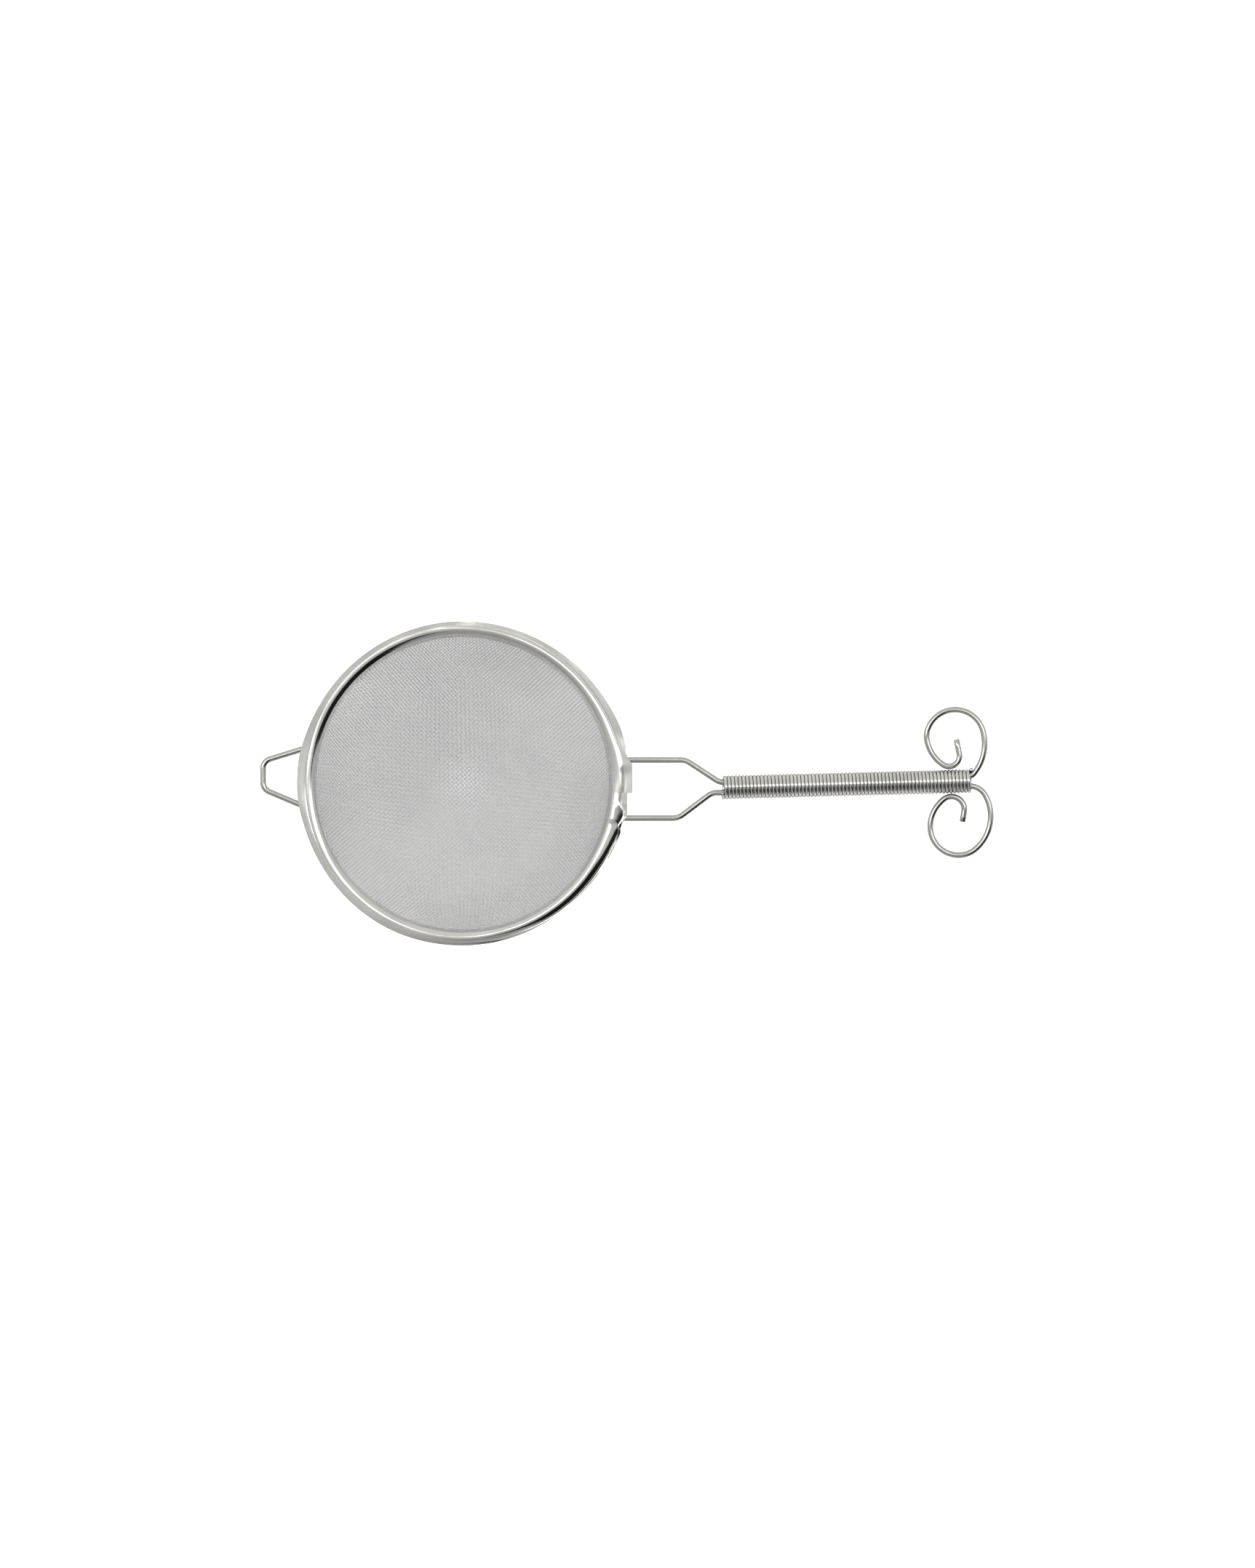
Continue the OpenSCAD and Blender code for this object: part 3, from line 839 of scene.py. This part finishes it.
def weave_net():
    """A net of equal cells laid over the dish from its lowest point, as pressed cloth lies."""
    pa, pb = CLOTH_PITCH
    na, nb = int(CLOTH_REACH / pa), int(CLOTH_REACH / pb)
    net = {}
    for i in range(-na, na + 1):
        net[i, 0] = on_dish(i * pa, CLOTH_TURN)
    for j in range(-nb, nb + 1):
        net[0, j] = on_dish(j * pb, CLOTH_TURN - 90)
    for si in (1, -1):
        for sj in (1, -1):
            for i in range(1, na + 1):
                for j in range(1, nb + 1):
                    a, b = net.get((si * i, sj * (j - 1))), net.get((si * (i - 1), sj * j))
                    old = net.get((si * (i - 1), sj * (j - 1)))
                    if a is None or b is None or old is None:
                        continue
                    p = third_corner(a, b, old, pb, pa)
                    if p is not None:
                        net[si * i, sj * j] = p
    return net, na, nb


def weave_wire(cells, up_first):
    """A wire's centre line over and under through a row of cells, its up, and its points inside."""
    corners = np.array(cells)
    n = len(cells)
    t = np.linspace(0, n - 1, (n - 1) * WEAVE_STEPS + 1)
    p = np.stack([np.interp(t, np.arange(n), corners[:, c]) for c in range(3)], 1)
    r = np.hypot(p[:, 0], p[:, 1])
    grade = np.array([dish(q)[1] for q in r])
    out = p[:, :2] / np.maximum(r, 1e-6)[:, None]
    normal = unit(np.column_stack([out * grade[:, None], -np.ones(len(p))]))
    p = p - normal * (up_first * np.cos(t * math.pi) * WEAVE_RISE)[:, None]
    inside = np.hypot(p[:, 0], p[:, 1]) < CLOTH_CUT_R
    first, last = np.argmax(inside), len(inside) - np.argmax(inside[::-1])
    return p[first:last], normal[first:last], inside.sum()


def woven_cloth():
    """Every wire of the cloth, in three pieces each way so that none is too large to export."""
    net, na, nb = weave_net()
    groups = {}
    for way, lines, count in ((0, nb, na), (1, na, nb)):
        for j in range(-lines, lines + 1):
            keys = [((i, j) if way == 0 else (j, i)) for i in range(-count, count + 1)]
            keys = [k for k in keys if k in net]
            if len(keys) < LEAST_CELLS:
                continue
            up_first = (sum(keys[0]) + way) % 2 * 2.0 - 1.0
            path, up, points = weave_wire([net[k] for k in keys], up_first)
            if points < LEAST_POINTS:
                continue
            third = "near" if 3 * j < -lines else "far" if 3 * j > lines else "middle"
            name = ("cloth_warp_", "cloth_weft_")[way] + third
            groups.setdefault(name, []).append(
                tube_arrays(path, up, CLOTH_WIRE_R, WEAVE_SIDES, cut=False))
    for name, wires in groups.items():
        verts, faces, _ = join_arrays(wires)
        finish_piece(make(name, verts, faces), cloth_steel, "woven_cloth", "mesh_bowl")


woven_cloth()
